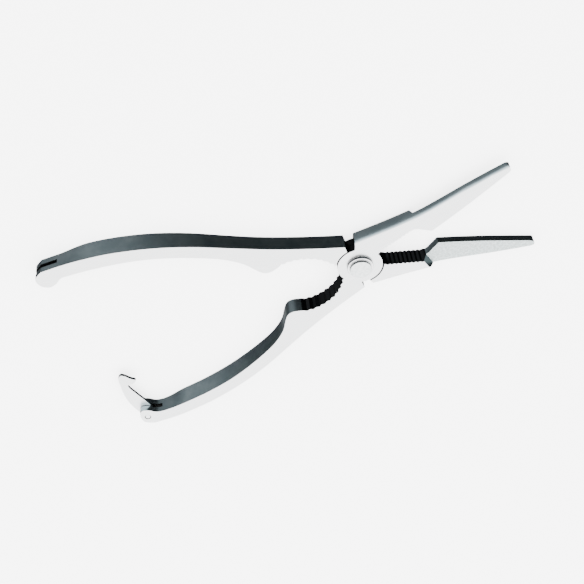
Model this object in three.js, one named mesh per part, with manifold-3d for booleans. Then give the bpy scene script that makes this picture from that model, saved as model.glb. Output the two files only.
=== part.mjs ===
// Fishing pliers with a side lock hook, in millimetres.
//
// Frame: the pliers lie flat with their front face up (+Z). The origin is on the pivot axis at the
// back plane, +X points to the jaw tips and +Y to the upper jaw's side.
//
// Two levers cross in a half lap at the pivot. The rear lever is the front lever turned over about
// the X axis, so one outline serves both. It is drawn in the closed position, then each lever is
// swung open about the pivot by the same angle.

import * as THREE from 'three';
import { mergeVertices } from 'three/addons/utils/BufferGeometryUtils.js';
import Module from 'manifold-3d';

const wasm = await Module();
wasm.setup();

// ---------------------------------------------------------------- driving dimensions

const THICKNESS = 7.5;            // the whole lever, front face to back face
const MID = THICKNESS / 2;        // the lap plane
const GAP = 0.3;                  // between any two pieces that face each other
const LAP_FACE = MID + GAP / 2;   // where the front lever's half-thickness parts begin
const OPEN_ANGLE = THREE.MathUtils.degToRad(20);  // each lever, away from closed

const BOSS_RADIUS = 9.5;
const BOSS_RECESS_RADIUS = 10.2;  // cut in one lever to clear the other lever's boss

const BORE_RADIUS = 3.3;
const SHANK_RADIUS = 3.0;
const HEAD_RADIUS = 4.55;
const HEAD_TOP_RADIUS = 4.15;
const HEAD_WALL = 0.8;
const HEAD_CHAMFER = 0.3;
const HEAD_DOME = 0.2;
const TAIL_LAND = 0.3;            // straight rim of the countersunk tail
const TAIL_DEPTH = 1.5;
const WASHER_RADIUS = 5.5;
const WASHER_THICKNESS = 1.2;
const WASHER_EDGE = 0.25;
const SEAT_GAP = 0.2;             // under the washer, and again under the rivet's head

const WIRE_RADIUS = 0.35;
const COIL_RADIUS = 4.8;
const COIL_RISE = 1.2;
const SPRING_POCKET_DEPTH = 1.1;
const SPRING_POCKET_RADIUS = COIL_RADIUS + WIRE_RADIUS + GAP;
const SPRING_LEG_END = 8.0;
const SPRING_GROOVE_WIDTH = 2 * (WIRE_RADIUS + GAP);

const HOOK_THICKNESS = 1.4;
const HOOK_SLOT = HOOK_THICKNESS + 2 * GAP;
const HOOK_PIVOT = new THREE.Vector2(-131.2, -4.4);
const HOOK_HEEL_RADIUS = 3.0;
const HOOK_PIN_RADIUS = 1.25;
const HOOK_PIN_BORE = HOOK_PIN_RADIUS + GAP;
const CLEVIS_SLOT_END = -123.4;
const CATCH_SLOT_END = -123.8;

const STEP_RUN = 1.4;             // how far the jaw step leans over half the thickness
const BLADE_HOLLOW = 0.3;         // how far the blade's edge face leans back
const HANDLE_LEAN = 1.7;          // how much wider the handle is at the back, on each side
const SPINE_ROUND_HEIGHT = 3.3;   // the rounding of the jaw's spine, down the side
const SPINE_ROUND_DEPTH = 1.8;    // and across the face
const SPINE_ROUND_STEPS = 5;

const BIG = 80;                   // reach of a cutter past the body it cuts
const CURVE_STEPS = 5;
const ROUND_STEPS = 56;

// ---------------------------------------------------------------- solids

function toSolid(geometry) {
  const plain = geometry.index ? geometry.toNonIndexed() : geometry;
  plain.deleteAttribute('normal');
  plain.deleteAttribute('uv');
  const merged = mergeVertices(plain, 1e-4);
  const mesh = new wasm.Mesh({
    numProp: 3,
    vertProperties: new Float32Array(merged.attributes.position.array),
    triVerts: new Uint32Array(merged.index.array),
  });
  mesh.merge();
  return new wasm.Manifold(mesh);
}

function toGeometry(solid) {
  const mesh = solid.getMesh();
  const geometry = new THREE.BufferGeometry();
  geometry.setAttribute('position', new THREE.BufferAttribute(mesh.vertProperties, 3));
  geometry.setIndex(new THREE.BufferAttribute(mesh.triVerts, 1));
  geometry.computeVertexNormals();
  return geometry;
}

// A plate of the given outline between two heights.
function plate(shape, bottom, top, curveSegments = CURVE_STEPS) {
  const options = { depth: top - bottom, bevelEnabled: false, curveSegments };
  return new THREE.ExtrudeGeometry(shape, options).translate(0, 0, bottom);
}

// A solid of revolution about +Z from [radius, height] pairs.
function turned(profile, steps = ROUND_STEPS) {
  const points = profile.map(([radius, height]) => new THREE.Vector2(radius, height));
  return new THREE.LatheGeometry(points, steps).rotateX(Math.PI / 2);
}

function disc(radius, bottom, top, steps = ROUND_STEPS) {
  return turned([[0, bottom], [radius, bottom], [radius, top], [0, top]], steps);
}

function vectors(pairs) {
  return pairs.map(([x, y]) => new THREE.Vector2(x, y));
}

// ---------------------------------------------------------------- lever outline

// Zigzag of crests on the curve and valleys to the left of its direction.
function addTeeth(shape, curve, count, depth) {
  const steps = 2 * count;
  for (let step = 0; step <= steps; step += 1) {
    const point = curve.getPointAt(step / steps);
    const tangent = curve.getTangentAt(step / steps);
    const inset = step % 2 === 1 ? depth : 0;
    shape.lineTo(point.x - tangent.y * inset, point.y + tangent.x * inset);
  }
}

const JAW_TEETH = 9;
const JAW_TOOTH_DEPTH = 0.5;
const JAW_GRIP = [[10.8, 0.2], [18, 0.2], [27.2, 0.2]];

const BLADE_EDGE = [[33.4, -6.2], [42.3, -5.8], [52.9, -5.1], [63.5, -4.1], [72.4, -3.2]];
const BLADE_TIP = [73.6, -0.2];
const BLADE_SPINE = [[66, 0.9], [55.3, 2.2], [44, 3.3], [33.5, 4.65], [21.5, 7.5], [6.8, 11.8]];

const HANDLE_TEETH = 9;
const HANDLE_TOOTH_DEPTH = 0.65;
const HANDLE_GRIP = [
  [-10.5, -1.1], [-14.7, -4.0], [-19.5, -5.8], [-25.5, -6.1], [-30.4, -5.1], [-33.9, -3.2],
];
const HANDLE_BUMP = [[-36.8, -0.9], [-39.2, -0.16], [-41.4, -0.8], [-44.2, -2.9]];
const HANDLE_PALM = [
  [-48.3, -6.2], [-54.5, -9.1], [-62.3, -11.1], [-74.6, -12.75], [-86.5, -13.2],
  [-98.6, -12.2], [-110.2, -10.1], [-119.7, -7.7],
];
const FRONT_HANDLE_END = [
  [-125.4, -5.0], [-127.6, -1.2], [-130.3, 0.6], [-133.3, -1.6], [-134.7, -6.0], [-131.9, -9.8],
];
const REAR_HANDLE_END = [
  [-123.3, -6.4], [-125.4, -3.7], [-128.4, -1.9], [-131.9, -3.1], [-133.4, -6.9], [-130.6, -10.8],
];
const HANDLE_BACK = [
  [-122.2, -13.6], [-114, -15.8], [-101.7, -18.1], [-85.7, -19.1], [-69.8, -18.3],
  [-53.8, -15.9], [-37.6, -13.5], [-20.8, -12.0], [-6.6, -11.3],
];

// The whole lever in the closed position, upper jaw and lower handle.
function leverOutline(handleEnd) {
  const shape = new THREE.Shape();
  const jawRoot = Math.atan2(8.6, 4.1);
  const handleFront = Math.PI + Math.asin(0.9 / BOSS_RADIUS);
  const handleRoot = -Math.PI + Math.atan2(7.8, 5.4);
  shape.moveTo(BOSS_RADIUS, 0);
  addTeeth(shape, new THREE.SplineCurve(vectors(JAW_GRIP)), JAW_TEETH, JAW_TOOTH_DEPTH);
  shape.lineTo(28.5, 0.1);
  shape.lineTo(29.7, -1.0);
  shape.lineTo(...BLADE_EDGE[0]);
  shape.splineThru(vectors(BLADE_EDGE.slice(1)));
  shape.bezierCurveTo(74.9, -2.9, 75.6, -0.8, ...BLADE_TIP);
  shape.splineThru(vectors(BLADE_SPINE));
  shape.absarc(0, 0, BOSS_RADIUS, jawRoot, handleFront, false);
  addTeeth(shape, new THREE.SplineCurve(vectors(HANDLE_GRIP)), HANDLE_TEETH, HANDLE_TOOTH_DEPTH);
  shape.splineThru(vectors([...HANDLE_BUMP, ...HANDLE_PALM, ...handleEnd]));
  shape.splineThru(vectors(HANDLE_BACK));
  shape.absarc(0, 0, BOSS_RADIUS, handleRoot, 0, false);
  return shape;
}

// Height of the handle's middle line, a shallow arc that is lowest at the palm.
function handleMiddle(x) {
  return -16 + 0.0042 * (x + 85) ** 2;
}

// Widens the handle's back face, at the given height, so that its sides lean.
function leanHandle(geometry, backHeight) {
  const { smoothstep } = THREE.MathUtils;
  const position = geometry.attributes.position;
  for (let index = 0; index < position.count; index += 1) {
    const x = position.getX(index);
    const y = position.getY(index);
    const share = smoothstep(-x, 40, 95) * (1 - smoothstep(-x, 110, 124));
    if (Math.abs(position.getZ(index) - backHeight) < GAP) {
      position.setY(index, y + Math.sign(y - handleMiddle(x)) * HANDLE_LEAN * share);
    }
  }
  return geometry;
}

// ---------------------------------------------------------------- lever cutters

// A block over the whole lever whose far side follows the jaw's spine, with that edge rounded.
function roundedSpineBlock() {
  const shape = new THREE.Shape();
  shape.moveTo(...BLADE_TIP);
  shape.splineThru(vectors(BLADE_SPINE));
  shape.lineTo(0, 14);
  shape.lineTo(-2 * BIG, BIG);
  shape.lineTo(-2 * BIG, -BIG);
  shape.lineTo(2 * BIG, -BIG);
  shape.lineTo(BIG, -2);
  const block = new THREE.ExtrudeGeometry(shape, {
    depth: THICKNESS - 2 * SPINE_ROUND_HEIGHT,
    bevelSize: SPINE_ROUND_DEPTH,
    bevelOffset: -SPINE_ROUND_DEPTH,
    bevelThickness: SPINE_ROUND_HEIGHT,
    bevelSegments: SPINE_ROUND_STEPS,
    curveSegments: CURVE_STEPS,
  });
  return toSolid(block.translate(0, 0, SPINE_ROUND_HEIGHT));
}

// Takes the back half of the jaw away beyond a sloped step, which leaves the front half as a blade.
function bladeRelief() {
  const wallStart = new THREE.Vector2(28.5, 0);
  const wallEnd = new THREE.Vector2(32.0, 5.1);
  const along = wallEnd.clone().sub(wallStart).normalize();
  const profile = new THREE.Shape(vectors([
    [-STEP_RUN * LAP_FACE / MID, 0],
    [-STEP_RUN * (LAP_FACE + 1) / MID, -1],
    [BIG, -1],
    [BIG, LAP_FACE],
    [0, LAP_FACE],
  ]));
  const cutter = new THREE.ExtrudeGeometry(profile, { depth: BIG, bevelEnabled: false });
  // Stood up and turned, so that profile x points away from the pivot and profile y points up.
  cutter.translate(0, 0, -BIG / 2).rotateX(Math.PI / 2);
  cutter.rotateZ(Math.atan2(along.y, along.x) - Math.PI / 2);
  return toSolid(cutter.translate(wallStart.x, wallStart.y, 0));
}

// Leans the blade's edge face back from its cutting edge at the lap plane, one stretch at a time.
function edgeReliefs() {
  const lean = Math.atan2(BLADE_HOLLOW, THICKNESS - LAP_FACE);
  const points = vectors(BLADE_EDGE);
  const reliefs = [];
  for (let index = 0; index + 1 < points.length; index += 1) {
    const start = points[index];
    const along = points[index + 1].clone().sub(start);
    const box = new THREE.BoxGeometry(BIG / 2, 10, 10);
    box.translate(0, -5, 0).rotateX(-lean).translate(0, 0, LAP_FACE);
    const middle = start.clone().add(points[index + 1]).multiplyScalar(0.5);
    box.rotateZ(Math.atan2(along.y, along.x)).translate(middle.x, middle.y, 0);
    reliefs.push(toSolid(box));
  }
  const zone = new THREE.BoxGeometry(BIG, BIG, THICKNESS).translate(30 + BIG / 2, 0, LAP_FACE + MID);
  return wasm.Manifold.union(reliefs).intersect(toSolid(zone));
}

// Pocket round the bore and a groove for one leg of the spring, both open at the lap plane.
function springPocket(legAngle) {
  const top = LAP_FACE + SPRING_POCKET_DEPTH;
  const pocket = toSolid(disc(SPRING_POCKET_RADIUS, LAP_FACE - 1, top));
  const length = SPRING_LEG_END + GAP;
  const groove = new THREE.BoxGeometry(length, SPRING_GROOVE_WIDTH, SPRING_POCKET_DEPTH + 1);
  groove.translate(length / 2, 0, top - (SPRING_POCKET_DEPTH + 1) / 2);
  return pocket.add(toSolid(groove.rotateZ(legAngle)));
}

// Level slot at mid thickness, from the handle's end to the given place.
function endSlot(slotEnd) {
  const length = 20;
  const slot = new THREE.BoxGeometry(length, BIG, HOOK_SLOT);
  return toSolid(slot.translate(slotEnd - length / 2, 0, MID));
}

// Lever in the closed position, before the cuts that only one of the two levers has.
function leverBlank(handleEnd, backHeight, legAngle) {
  const stock = leanHandle(plate(leverOutline(handleEnd), 0, THICKNESS), backHeight);
  const recess = toSolid(disc(BOSS_RECESS_RADIUS, -1, LAP_FACE));
  return toSolid(stock)
    .intersect(roundedSpineBlock())
    .subtract(recess)
    .subtract(bladeRelief())
    .subtract(edgeReliefs())
    .subtract(toSolid(disc(BORE_RADIUS, -1, THICKNESS + 1)))
    .subtract(springPocket(legAngle));
}

// ---------------------------------------------------------------- pieces

const LEG_OFFSET = THREE.MathUtils.degToRad(30);   // spring leg from the handle's middle line

function frontLever() {
  const pinBore = disc(HOOK_PIN_BORE, -1, THICKNESS + 1, 24);
  pinBore.translate(HOOK_PIVOT.x, HOOK_PIVOT.y, 0);
  const solid = leverBlank(FRONT_HANDLE_END, 0, Math.PI + LEG_OFFSET)
    .subtract(endSlot(CLEVIS_SLOT_END))
    .subtract(toSolid(pinBore));
  return toGeometry(solid);
}

// Drawn the same way up as the front lever, then turned over about the X axis.
function rearLever() {
  const countersink = turned([
    [0, THICKNESS - TAIL_DEPTH - GAP],
    [BORE_RADIUS, THICKNESS - TAIL_DEPTH - GAP],
    [HEAD_RADIUS + GAP, THICKNESS - TAIL_LAND],
    [HEAD_RADIUS + GAP, THICKNESS + 1],
    [0, THICKNESS + 1],
  ]);
  const solid = leverBlank(REAR_HANDLE_END, THICKNESS, Math.PI + LEG_OFFSET)
    .subtract(endSlot(CATCH_SLOT_END))
    .subtract(toSolid(countersink));
  return toGeometry(solid).rotateX(Math.PI).translate(0, 0, THICKNESS);
}

const WASHER_BOTTOM = THICKNESS + SEAT_GAP;
const WASHER_TOP = WASHER_BOTTOM + WASHER_THICKNESS;
const HEAD_BOTTOM = WASHER_TOP + SEAT_GAP;

function pivotRivet() {
  const wallTop = HEAD_BOTTOM + HEAD_WALL;
  const rimTop = wallTop + HEAD_CHAMFER;
  const dome = [];
  const domeSteps = 4;
  for (let step = 0; step <= domeSteps; step += 1) {
    const share = 1 - step / domeSteps;
    dome.push([HEAD_TOP_RADIUS * share, rimTop + HEAD_DOME * (1 - share * share)]);
  }
  return turned([
    [0, 0],
    [HEAD_RADIUS, 0],
    [HEAD_RADIUS, TAIL_LAND],
    [SHANK_RADIUS, TAIL_DEPTH],
    [SHANK_RADIUS, HEAD_BOTTOM],
    [HEAD_RADIUS, HEAD_BOTTOM],
    [HEAD_RADIUS, wallTop],
    ...dome,
  ]);
}

function frontWasher() {
  return turned([
    [BORE_RADIUS, WASHER_BOTTOM],
    [WASHER_RADIUS, WASHER_BOTTOM],
    [WASHER_RADIUS, WASHER_TOP - WASHER_EDGE],
    [WASHER_RADIUS - WASHER_EDGE, WASHER_TOP],
    [BORE_RADIUS, WASHER_TOP],
    [BORE_RADIUS, WASHER_BOTTOM],
  ]);
}

// Torsion spring: a flat helix with a straight radial leg at each end.
class SpringCurve extends THREE.Curve {
  constructor(startAngle, endAngle) {
    super();
    this.startAngle = startAngle;
    this.endAngle = endAngle;
    this.legShare = 0.12;
  }

  getPoint(share, target = new THREE.Vector3()) {
    const coilShare = THREE.MathUtils.clamp((share - this.legShare) / (1 - 2 * this.legShare), 0, 1);
    const angle = THREE.MathUtils.lerp(this.startAngle, this.endAngle, coilShare);
    const fromEnd = Math.min(share, 1 - share);
    const out = Math.max(0, 1 - fromEnd / this.legShare);
    const radius = THREE.MathUtils.lerp(COIL_RADIUS, SPRING_LEG_END, out);
    const height = MID + COIL_RISE * (coilShare - 0.5);
    return target.set(radius * Math.cos(angle), radius * Math.sin(angle), height);
  }
}

function jointSpring() {
  // The rear leg lies in the rear lever's groove, and the front leg in the front lever's.
  const rearLeg = Math.PI - LEG_OFFSET - OPEN_ANGLE;
  const frontLeg = Math.PI + LEG_OFFSET + OPEN_ANGLE + 2 * Math.PI;
  const route = new SpringCurve(rearLeg, frontLeg);
  const section = new THREE.Shape().absarc(0, 0, WIRE_RADIUS, 0, 2 * Math.PI, false);
  return new THREE.ExtrudeGeometry(section, { steps: 72, extrudePath: route, curveSegments: 8 });
}

// Hook outline about its pin, in the pose where its shank stands upright.
function lockHook() {
  const shape = new THREE.Shape();
  shape.moveTo(2.9, 0.8);
  shape.splineThru(vectors([[3.2, 5.0], [1.7, 12.0], [0.3, 18.6], [0.1, 20.6]]));
  shape.splineThru(vectors([[0.8, 21.6], [2.8, 21.4], [4.4, 22.1]]));
  shape.splineThru(vectors([[5.1, 23.1], [3.5, 24.9], [2.0, 27.5], [0.6, 28.8], [-0.7, 28.2]]));
  shape.splineThru(vectors([[-1.8, 26.6], [-2.6, 23.4], [-3.7, 18.2], [-4.5, 12.4], [-4.2, 6.2], [-3.0, 0.3]]));
  shape.absarc(0, 0, HOOK_HEEL_RADIUS, Math.PI * 0.97, Math.PI * 2.08, false);
  const bottom = MID - HOOK_THICKNESS / 2;
  const body = toSolid(plate(shape, bottom, bottom + HOOK_THICKNESS));
  return toGeometry(body.subtract(toSolid(disc(HOOK_PIN_BORE, 0, THICKNESS, 24))));
}

function hookPin() {
  const chamfer = 0.2;
  const inset = 0.1;
  return turned([
    [0, inset],
    [HOOK_PIN_RADIUS - chamfer, inset],
    [HOOK_PIN_RADIUS, inset + chamfer],
    [HOOK_PIN_RADIUS, THICKNESS - inset - chamfer],
    [HOOK_PIN_RADIUS - chamfer, THICKNESS - inset],
    [0, THICKNESS - inset],
  ], 24);
}

// ---------------------------------------------------------------- assembly

function piece(name, geometry, color, roughness, metalness) {
  const material = new THREE.MeshStandardMaterial({ color, roughness, metalness });
  const mesh = new THREE.Mesh(geometry, material);
  mesh.name = name;
  return mesh;
}

const BRIGHT_STEEL = 0xd9dde0;
const BLASTED_STEEL = 0xb9bec2;
const SPRING_STEEL = 0x8f9498;

const pliers = new THREE.Group();

const frontSide = new THREE.Group();
frontSide.rotation.z = OPEN_ANGLE;
frontSide.add(piece('front_lever', frontLever(), BRIGHT_STEEL, 0.28, 1));
pliers.add(frontSide);

const hookSide = new THREE.Group();
hookSide.position.set(HOOK_PIVOT.x, HOOK_PIVOT.y, 0);
hookSide.rotation.z = -OPEN_ANGLE;
hookSide.add(piece('lock_hook', lockHook(), BRIGHT_STEEL, 0.35, 1));
hookSide.add(piece('hook_pin', hookPin(), SPRING_STEEL, 0.3, 1));
frontSide.add(hookSide);

const rearSide = new THREE.Group();
rearSide.rotation.z = -OPEN_ANGLE;
rearSide.add(piece('rear_lever', rearLever(), BLASTED_STEEL, 0.35, 1));
pliers.add(rearSide);

pliers.add(piece('pivot_rivet', pivotRivet(), BRIGHT_STEEL, 0.3, 1));
pliers.add(piece('front_washer', frontWasher(), BRIGHT_STEEL, 0.4, 1));
pliers.add(piece('joint_spring', jointSpring(), SPRING_STEEL, 0.35, 1));

export default pliers;
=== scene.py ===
"""Looks, light and camera for the fishing pliers. Lengths are in metres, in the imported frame."""
import math

import bpy
from mathutils import Matrix, Vector


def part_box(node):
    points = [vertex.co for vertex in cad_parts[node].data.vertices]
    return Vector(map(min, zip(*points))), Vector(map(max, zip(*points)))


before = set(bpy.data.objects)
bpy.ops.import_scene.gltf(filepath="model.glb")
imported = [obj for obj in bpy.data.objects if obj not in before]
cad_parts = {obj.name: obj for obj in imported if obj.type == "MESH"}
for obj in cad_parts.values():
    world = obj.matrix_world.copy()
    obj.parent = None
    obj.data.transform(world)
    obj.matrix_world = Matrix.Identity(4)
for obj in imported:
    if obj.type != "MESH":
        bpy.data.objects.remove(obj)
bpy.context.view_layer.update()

MM = 0.001
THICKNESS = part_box("front_lever")[1][2]
MID = THICKNESS / 2


# ---------------------------------------------------------------- node helpers

def new_material(name):
    material = bpy.data.materials.new(name)
    material.use_nodes = True
    return material, material.node_tree.nodes, material.node_tree.links


def add_node(nodes, kind, **settings):
    node = nodes.new(kind)
    for key, value in settings.items():
        setattr(node, key, value)
    return node


class Graph:
    """Short ways to chain shader nodes in one material."""

    def __init__(self, name):
        self.material, self.nodes, self.links = new_material(name)
        self.shader = self.nodes["Principled BSDF"]
        self.coords = add_node(self.nodes, "ShaderNodeTexCoord").outputs["Object"]
        self.normal = add_node(self.nodes, "ShaderNodeNewGeometry").outputs["Normal"]

    def link(self, source, target):
        if isinstance(source, (int, float, tuple)):
            target.default_value = source
        else:
            self.links.new(source, target)

    def turned(self, vector, angle):
        """The vector as it is before a turn about Z by angle."""
        node = add_node(self.nodes, "ShaderNodeVectorRotate", rotation_type="Z_AXIS")
        self.link(vector, node.inputs["Vector"])
        node.inputs["Angle"].default_value = -angle
        return node.outputs[0]

    def between(self, value, low, high, soft):
        """1 where value lies between low and high, 0 elsewhere."""
        above_low = self.ramp(value, low - soft, low)
        below_high = self.ramp(value, high + soft, high)
        return self.math("MULTIPLY", above_low, below_high)

    def axis(self, vector, name):
        split = add_node(self.nodes, "ShaderNodeSeparateXYZ")
        self.link(vector, split.inputs[0])
        return split.outputs[name]

    def math(self, operation, first, second=0.0, clamp=False):
        node = add_node(self.nodes, "ShaderNodeMath", operation=operation, use_clamp=clamp)
        self.link(first, node.inputs[0])
        self.link(second, node.inputs[1])
        return node.outputs[0]

    def ramp(self, value, low, high, to_low=0.0, to_high=1.0):
        node = add_node(self.nodes, "ShaderNodeMapRange", clamp=True)
        node.interpolation_type = "SMOOTHSTEP"
        self.link(value, node.inputs["Value"])
        limits = {"From Min": low, "From Max": high, "To Min": to_low, "To Max": to_high}
        for key, number in limits.items():
            self.link(number, node.inputs[key])
        return node.outputs["Result"]

    def mix(self, share, first, second):
        node = add_node(self.nodes, "ShaderNodeMix", data_type="RGBA")
        self.link(share, node.inputs["Factor"])
        self.link(first, node.inputs["A"])
        self.link(second, node.inputs["B"])
        return node.outputs["Result"]

    def blend(self, share, first, second):
        node = add_node(self.nodes, "ShaderNodeMix", data_type="FLOAT")
        self.link(share, node.inputs["Factor"])
        self.link(first, node.inputs["A"])
        self.link(second, node.inputs["B"])
        return node.outputs["Result"]

    def noise(self, size, detail=2.0, stretch=(1, 1, 1), turn=0.0):
        """Noise whose features are about size metres across, stretched along the turned axes."""
        mapping = add_node(self.nodes, "ShaderNodeMapping", vector_type="TEXTURE")
        mapping.inputs["Rotation"].default_value = (0, 0, turn)
        mapping.inputs["Scale"].default_value = tuple(size * factor for factor in stretch)
        self.link(self.coords, mapping.inputs["Vector"])
        node = add_node(self.nodes, "ShaderNodeTexNoise")
        node.inputs["Scale"].default_value = 1.0
        node.inputs["Detail"].default_value = detail
        self.link(mapping.outputs[0], node.inputs["Vector"])
        return node.outputs["Fac"]

    def bump(self, height, strength, distance):
        node = add_node(self.nodes, "ShaderNodeBump")
        node.inputs["Strength"].default_value = strength
        node.inputs["Distance"].default_value = distance
        self.link(height, node.inputs["Height"])
        self.link(node.outputs[0], self.shader.inputs["Normal"])


# ---------------------------------------------------------------- steels

BRIGHT = (0.87, 0.88, 0.885, 1)
BRIGHT_WORN = (0.81, 0.825, 0.835, 1)
# Painted shade: sideways steel faces are coloured dark slate; the worn one is its mottled variant.
SIDE_SHADE = (0.21, 0.27, 0.295, 1)
SIDE_SHADE_WORN = (0.27, 0.335, 0.36, 1)
# Painted shade: black for slots, gaps and hollow walls.
SHADE_BLACK = (0.012, 0.013, 0.014, 1)
BLASTED = (0.42, 0.47, 0.47, 1)
BLASTED_WORN = (0.62, 0.68, 0.68, 1)
# Painted shade: near black for the serrated grip teeth.
GRIP_SHADE_BLACK = (0.028, 0.031, 0.034, 1)
# Painted shade: dark colour for the sloped step and the edges of the rivet and washer.
SHADE_DARK = (0.03, 0.045, 0.05, 1)
HANDLE_GRIP = (-34.2 * MM, -9.7 * MM)
JAW_GRIP = (9.7 * MM, 28.2 * MM)
LAP_GAP = 0.3 * MM
HOOK_SLOT = 2.0 * MM
HUB_RADIUS = 13.2 * MM
HEIGHT_TOLERANCE = 0.1 * MM
HUB_SKIN = 0.2 * MM


def faces_and_edges(graph, bright, worn, grain, edge=SIDE_SHADE, edge_shade_worn=SIDE_SHADE_WORN):
    """Colour and flatness of stamped steel: bright ground faces, and sideways faces painted a dark slate
    shade.
    """
    flat = graph.ramp(graph.math("ABSOLUTE", graph.axis(graph.normal, "Z")), 0.45, 0.8)
    cloud = graph.ramp(graph.noise(7 * MM, 4.0), 0.35, 0.7)
    edge_shade_colour = graph.mix(cloud, edge, edge_shade_worn)
    face_colour = graph.mix(graph.ramp(grain, 0.3, 0.7), bright, worn)
    return flat, graph.mix(flat, edge_shade_colour, face_colour)


def height_band(graph, height, middle, half_width):
    """1 where the surface lies within half_width of a height, 0 elsewhere."""
    off = graph.math("ABSOLUTE", graph.math("SUBTRACT", height, middle))
    return graph.ramp(off, half_width * 1.2, half_width)


def lever_steel(name, blade_z, turn):
    """Steel of one lever, whose recessed blade face is at blade_z and whose swing in the plane is turn.

    The blade's recess is blasted. Inside the hook's slot and the gaps round the pivot, the shade is
    painted black.
    """
    graph = Graph(name)
    height = graph.axis(graph.coords, "Z")
    scratches = graph.noise(0.3 * MM, 3.0, (30, 1, 30), turn)
    grain = graph.noise(0.9 * MM, 5.0)
    flat, colour = faces_and_edges(graph, BRIGHT, BRIGHT_WORN, scratches)

    recess = graph.math("MULTIPLY", height_band(graph, height, blade_z, HEIGHT_TOLERANCE), flat)
    blasted = graph.mix(graph.ramp(grain, 0.35, 0.68), BLASTED, BLASTED_WORN)
    colour = graph.mix(recess, colour, blasted)

    # Painted shade: faces inside the hook's slot are coloured black.
    in_slot = height_band(graph, height, MID, HOOK_SLOT / 2 + HEIGHT_TOLERANCE)
    clear_of_lap = graph.math("SUBTRACT", 1.0, height_band(graph, height, MID, LAP_GAP))
    slot_shade = graph.math("MULTIPLY", graph.math("MULTIPLY", in_slot, clear_of_lap), flat)
    colour = graph.mix(slot_shade, colour, SHADE_BLACK)

    # Painted shade: faces hidden in the gap round the pivot are coloured black.
    off_middle = graph.math("ABSOLUTE", graph.math("SUBTRACT", height, MID))
    inside = graph.ramp(off_middle, MID - HUB_SKIN, MID - 2 * HUB_SKIN)
    from_pivot = add_node(graph.nodes, "ShaderNodeVectorMath", operation="LENGTH")
    graph.link(graph.coords, from_pivot.inputs[0])
    near_pivot = graph.ramp(from_pivot.outputs["Value"], HUB_RADIUS, HUB_RADIUS - 0.4 * MM)
    colour = graph.mix(graph.math("MULTIPLY", inside, near_pivot), colour, SHADE_BLACK)

    at_rest = graph.turned(graph.coords, turn)
    along = graph.axis(at_rest, "X")
    aside = graph.math("ABSOLUTE", graph.axis(at_rest, "Y"))
    side = graph.math("SUBTRACT", 1.0, flat)
    # Painted shade: the side faces of the serrated grips are coloured near black, in place of the shade
    # between the teeth.
    handle_grip = graph.math(
        "MULTIPLY", graph.between(along, *HANDLE_GRIP, 0.5 * MM), graph.ramp(aside, 8.5 * MM, 8.0 * MM))
    jaw_grip = graph.math(
        "MULTIPLY", graph.between(along, *JAW_GRIP, 0.5 * MM), graph.ramp(aside, 1.6 * MM, 1.2 * MM))
    grip_shade = graph.math("MULTIPLY", graph.math("MAXIMUM", handle_grip, jaw_grip), side)
    colour = graph.mix(grip_shade, colour, GRIP_SHADE_BLACK)
    # Painted shade: sloped faces leaning toward the tip are coloured dark, standing in for a dark
    # reflection.
    toward_tip = graph.axis(graph.turned(graph.normal, turn), "X")
    leaning = graph.between(graph.axis(graph.normal, "Z"), 0.2, 0.6, 0.05)
    step_shade = graph.math("MULTIPLY", graph.ramp(toward_tip, 0.5, 0.65), leaning)
    colour = graph.mix(step_shade, colour, SHADE_DARK)
    graph.link(colour, graph.shader.inputs["Base Color"])

    rough = graph.blend(flat, 0.3, graph.ramp(scratches, 0.2, 0.8, 0.26, 0.36))
    rough = graph.blend(recess, rough, 0.6)
    graph.link(rough, graph.shader.inputs["Roughness"])
    graph.shader.inputs["Metallic"].default_value = 1.0
    graph.bump(graph.blend(recess, scratches, grain), 0.15, 0.04 * MM)
    return graph.material


def sheet_steel(name, bright, worn, roughness, size, edges=(SIDE_SHADE, SIDE_SHADE_WORN)):
    """Steel of a small pressed or turned piece, with bright faces and edges painted in dark shade."""
    graph = Graph(name)
    grain = graph.noise(size, 4.0)
    _, colour = faces_and_edges(graph, bright, worn, grain, *edges)
    graph.link(colour, graph.shader.inputs["Base Color"])
    rough = graph.ramp(grain, 0.2, 0.8, roughness * 0.85, roughness * 1.15)
    graph.link(rough, graph.shader.inputs["Roughness"])
    graph.shader.inputs["Metallic"].default_value = 1.0
    graph.bump(grain, 0.15, 0.04 * MM)
    return graph.material


def wire_steel():
    graph = Graph("wire_steel")
    grain = graph.noise(0.4 * MM, 3.0, (1, 1, 4))
    colour = graph.mix(graph.ramp(grain, 0.3, 0.7), (0.42, 0.43, 0.45, 1), (0.3, 0.31, 0.33, 1))
    graph.link(colour, graph.shader.inputs["Base Color"])
    graph.link(graph.ramp(grain, 0.2, 0.8, 0.25, 0.4), graph.shader.inputs["Roughness"])
    graph.shader.inputs["Metallic"].default_value = 1.0
    return graph.material


def dress(node, material, edge):
    """Gives a CAD node its material, soft edges and smooth curves."""
    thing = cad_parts[node]
    thing.data.materials.clear()
    thing.data.materials.append(material)
    for polygon in thing.data.polygons:
        polygon.use_smooth = True
    weld = thing.modifiers.new("weld", "WELD")
    weld.merge_threshold = 0.002 * MM
    flat = thing.modifiers.new("flat", "DECIMATE")
    flat.decimate_type = "DISSOLVE"
    flat.angle_limit = math.radians(0.3)
    bevel = thing.modifiers.new("soft_edges", "BEVEL")
    bevel.width = edge
    bevel.segments = 2
    bevel.limit_method = "ANGLE"
    bevel.angle_limit = math.radians(28)
    bevel.use_clamp_overlap = True
    weighted = thing.modifiers.new("even_shading", "WEIGHTED_NORMAL")
    weighted.mode = "FACE_AREA_WITH_ANGLE"
    weighted.weight = 100


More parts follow.
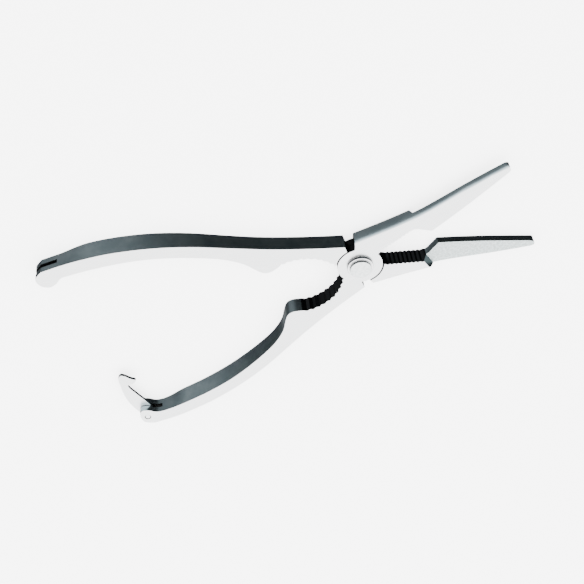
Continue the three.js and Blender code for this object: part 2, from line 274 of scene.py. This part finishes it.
OPEN_ANGLE = math.radians(20)
dress("front_lever", lever_steel("front_lever_steel", MID + LAP_GAP / 2, OPEN_ANGLE), 0.15 * MM)
dress("rear_lever", lever_steel("rear_lever_steel", MID - LAP_GAP / 2, -OPEN_ANGLE), 0.15 * MM)
# Painted shade: the walls of the rivet and washer are coloured black and dark.
HUB_SHADE_EDGES = (SHADE_BLACK, SHADE_DARK)
RIVET = sheet_steel(
    "rivet_steel", (0.84, 0.865, 0.865, 1), (0.66, 0.70, 0.70, 1), 0.45, 1.0 * MM, HUB_SHADE_EDGES)
WASHER = sheet_steel("washer_steel", (0.9, 0.905, 0.91, 1), BRIGHT, 0.4, 0.5 * MM, HUB_SHADE_EDGES)
dress("pivot_rivet", RIVET, 0.1 * MM)
dress("front_washer", WASHER, 0.06 * MM)
dress("hook_pin", sheet_steel("pin_steel", (0.92, 0.93, 0.93, 1), BRIGHT, 0.35, 0.4 * MM), 0.05 * MM)
dress("lock_hook", sheet_steel("hook_steel", BRIGHT, BRIGHT_WORN, 0.32, 0.6 * MM), 0.06 * MM)
dress("joint_spring", wire_steel(), 0.02 * MM)


# ---------------------------------------------------------------- floor, light and camera

SKY = 4.4
DARK_ROOM = 0.015
LIT_ROOM = 0.45
FLOOR_SIZE = 6
FLOOR_GLOW = 3.0
SENSOR = 36
LENS = 71.64
CAMERA_PLACE = Vector((64.0, 338.0, 350.6)) * MM
CAMERA_RIGHT = Vector((0.9290, -0.3572, 0.0957))
CAMERA_UP = Vector((0.3151, 0.6293, -0.7104))


def floor():
    bpy.ops.mesh.primitive_plane_add(size=FLOOR_SIZE, location=(0, 0, 0))
    plane = bpy.context.object
    plane.name = "floor"
    material, nodes, _ = new_material("floor_white")
    shader = nodes["Principled BSDF"]
    shader.inputs["Base Color"].default_value = (0.9, 0.9, 0.9, 1)
    shader.inputs["Emission Color"].default_value = (1, 1, 1, 1)
    shader.inputs["Emission Strength"].default_value = FLOOR_GLOW
    shader.inputs["Roughness"].default_value = 0.9
    shader.inputs["Specular IOR Level"].default_value = 0.1
    plane.data.materials.append(material)
    plane.visible_glossy = False


def sky():
    """White above the horizon, which the faces mirror, and a dark room below it, which the edges mirror.

    The dark room is lit from the handle ends' side, so edges that look that way are slate and not black.
    """
    world = bpy.data.worlds.new("studio")
    bpy.context.scene.world = world
    world.use_nodes = True
    nodes = world.node_tree.nodes
    links = world.node_tree.links

    def ramp(source, low, high, to_low, to_high):
        node = nodes.new("ShaderNodeMapRange")
        node.interpolation_type = "SMOOTHSTEP"
        limits = {"From Min": low, "From Max": high, "To Min": to_low, "To Max": to_high}
        for key, number in limits.items():
            node.inputs[key].default_value = number
        links.new(source, node.inputs["Value"])
        return node.outputs["Result"]

    split = nodes.new("ShaderNodeSeparateXYZ")
    links.new(nodes.new("ShaderNodeTexCoord").outputs["Generated"], split.inputs[0])
    near_end = ramp(split.outputs["X"], 0.3, -0.05, DARK_ROOM, LIT_ROOM)
    far_end = ramp(split.outputs["X"], -0.75, -0.5, 0.2, 1.0)
    both = nodes.new("ShaderNodeMath")
    both.operation = "MULTIPLY"
    links.new(near_end, both.inputs[0])
    links.new(far_end, both.inputs[1])
    room = both.outputs[0]
    share = ramp(split.outputs["Z"], -0.2, 0.12, 0.0, 1.0)
    mix = nodes.new("ShaderNodeMix")
    links.new(share, mix.inputs["Factor"])
    links.new(room, mix.inputs["A"])
    mix.inputs["B"].default_value = SKY
    links.new(mix.outputs["Result"], nodes["Background"].inputs["Strength"])
    nodes["Background"].inputs["Color"].default_value = (1, 1, 1, 1)


def softbox(name, place, aim, size, power):
    light = bpy.data.lights.new(name, "AREA")
    light.shape = "DISK"
    light.size = size
    light.energy = power
    lamp = bpy.data.objects.new(name, light)
    lamp.location = place
    lamp.rotation_euler = (Vector(aim) - Vector(place)).to_track_quat("-Z", "Y").to_euler()
    lamp.visible_glossy = False
    bpy.context.scene.collection.objects.link(lamp)


def camera():
    data = bpy.data.cameras.new("camera")
    data.sensor_width = SENSOR
    data.lens = LENS
    lens = bpy.data.objects.new("camera", data)
    bpy.context.scene.collection.objects.link(lens)
    bpy.context.scene.camera = lens
    turn = Matrix((CAMERA_RIGHT, CAMERA_UP, CAMERA_RIGHT.cross(CAMERA_UP))).transposed().to_4x4()
    lens.matrix_world = Matrix.Translation(CAMERA_PLACE) @ turn


floor()
sky()
softbox("key", (-0.3, -0.5, 0.8), (0, 0, 0), 1.2, 5)
camera()
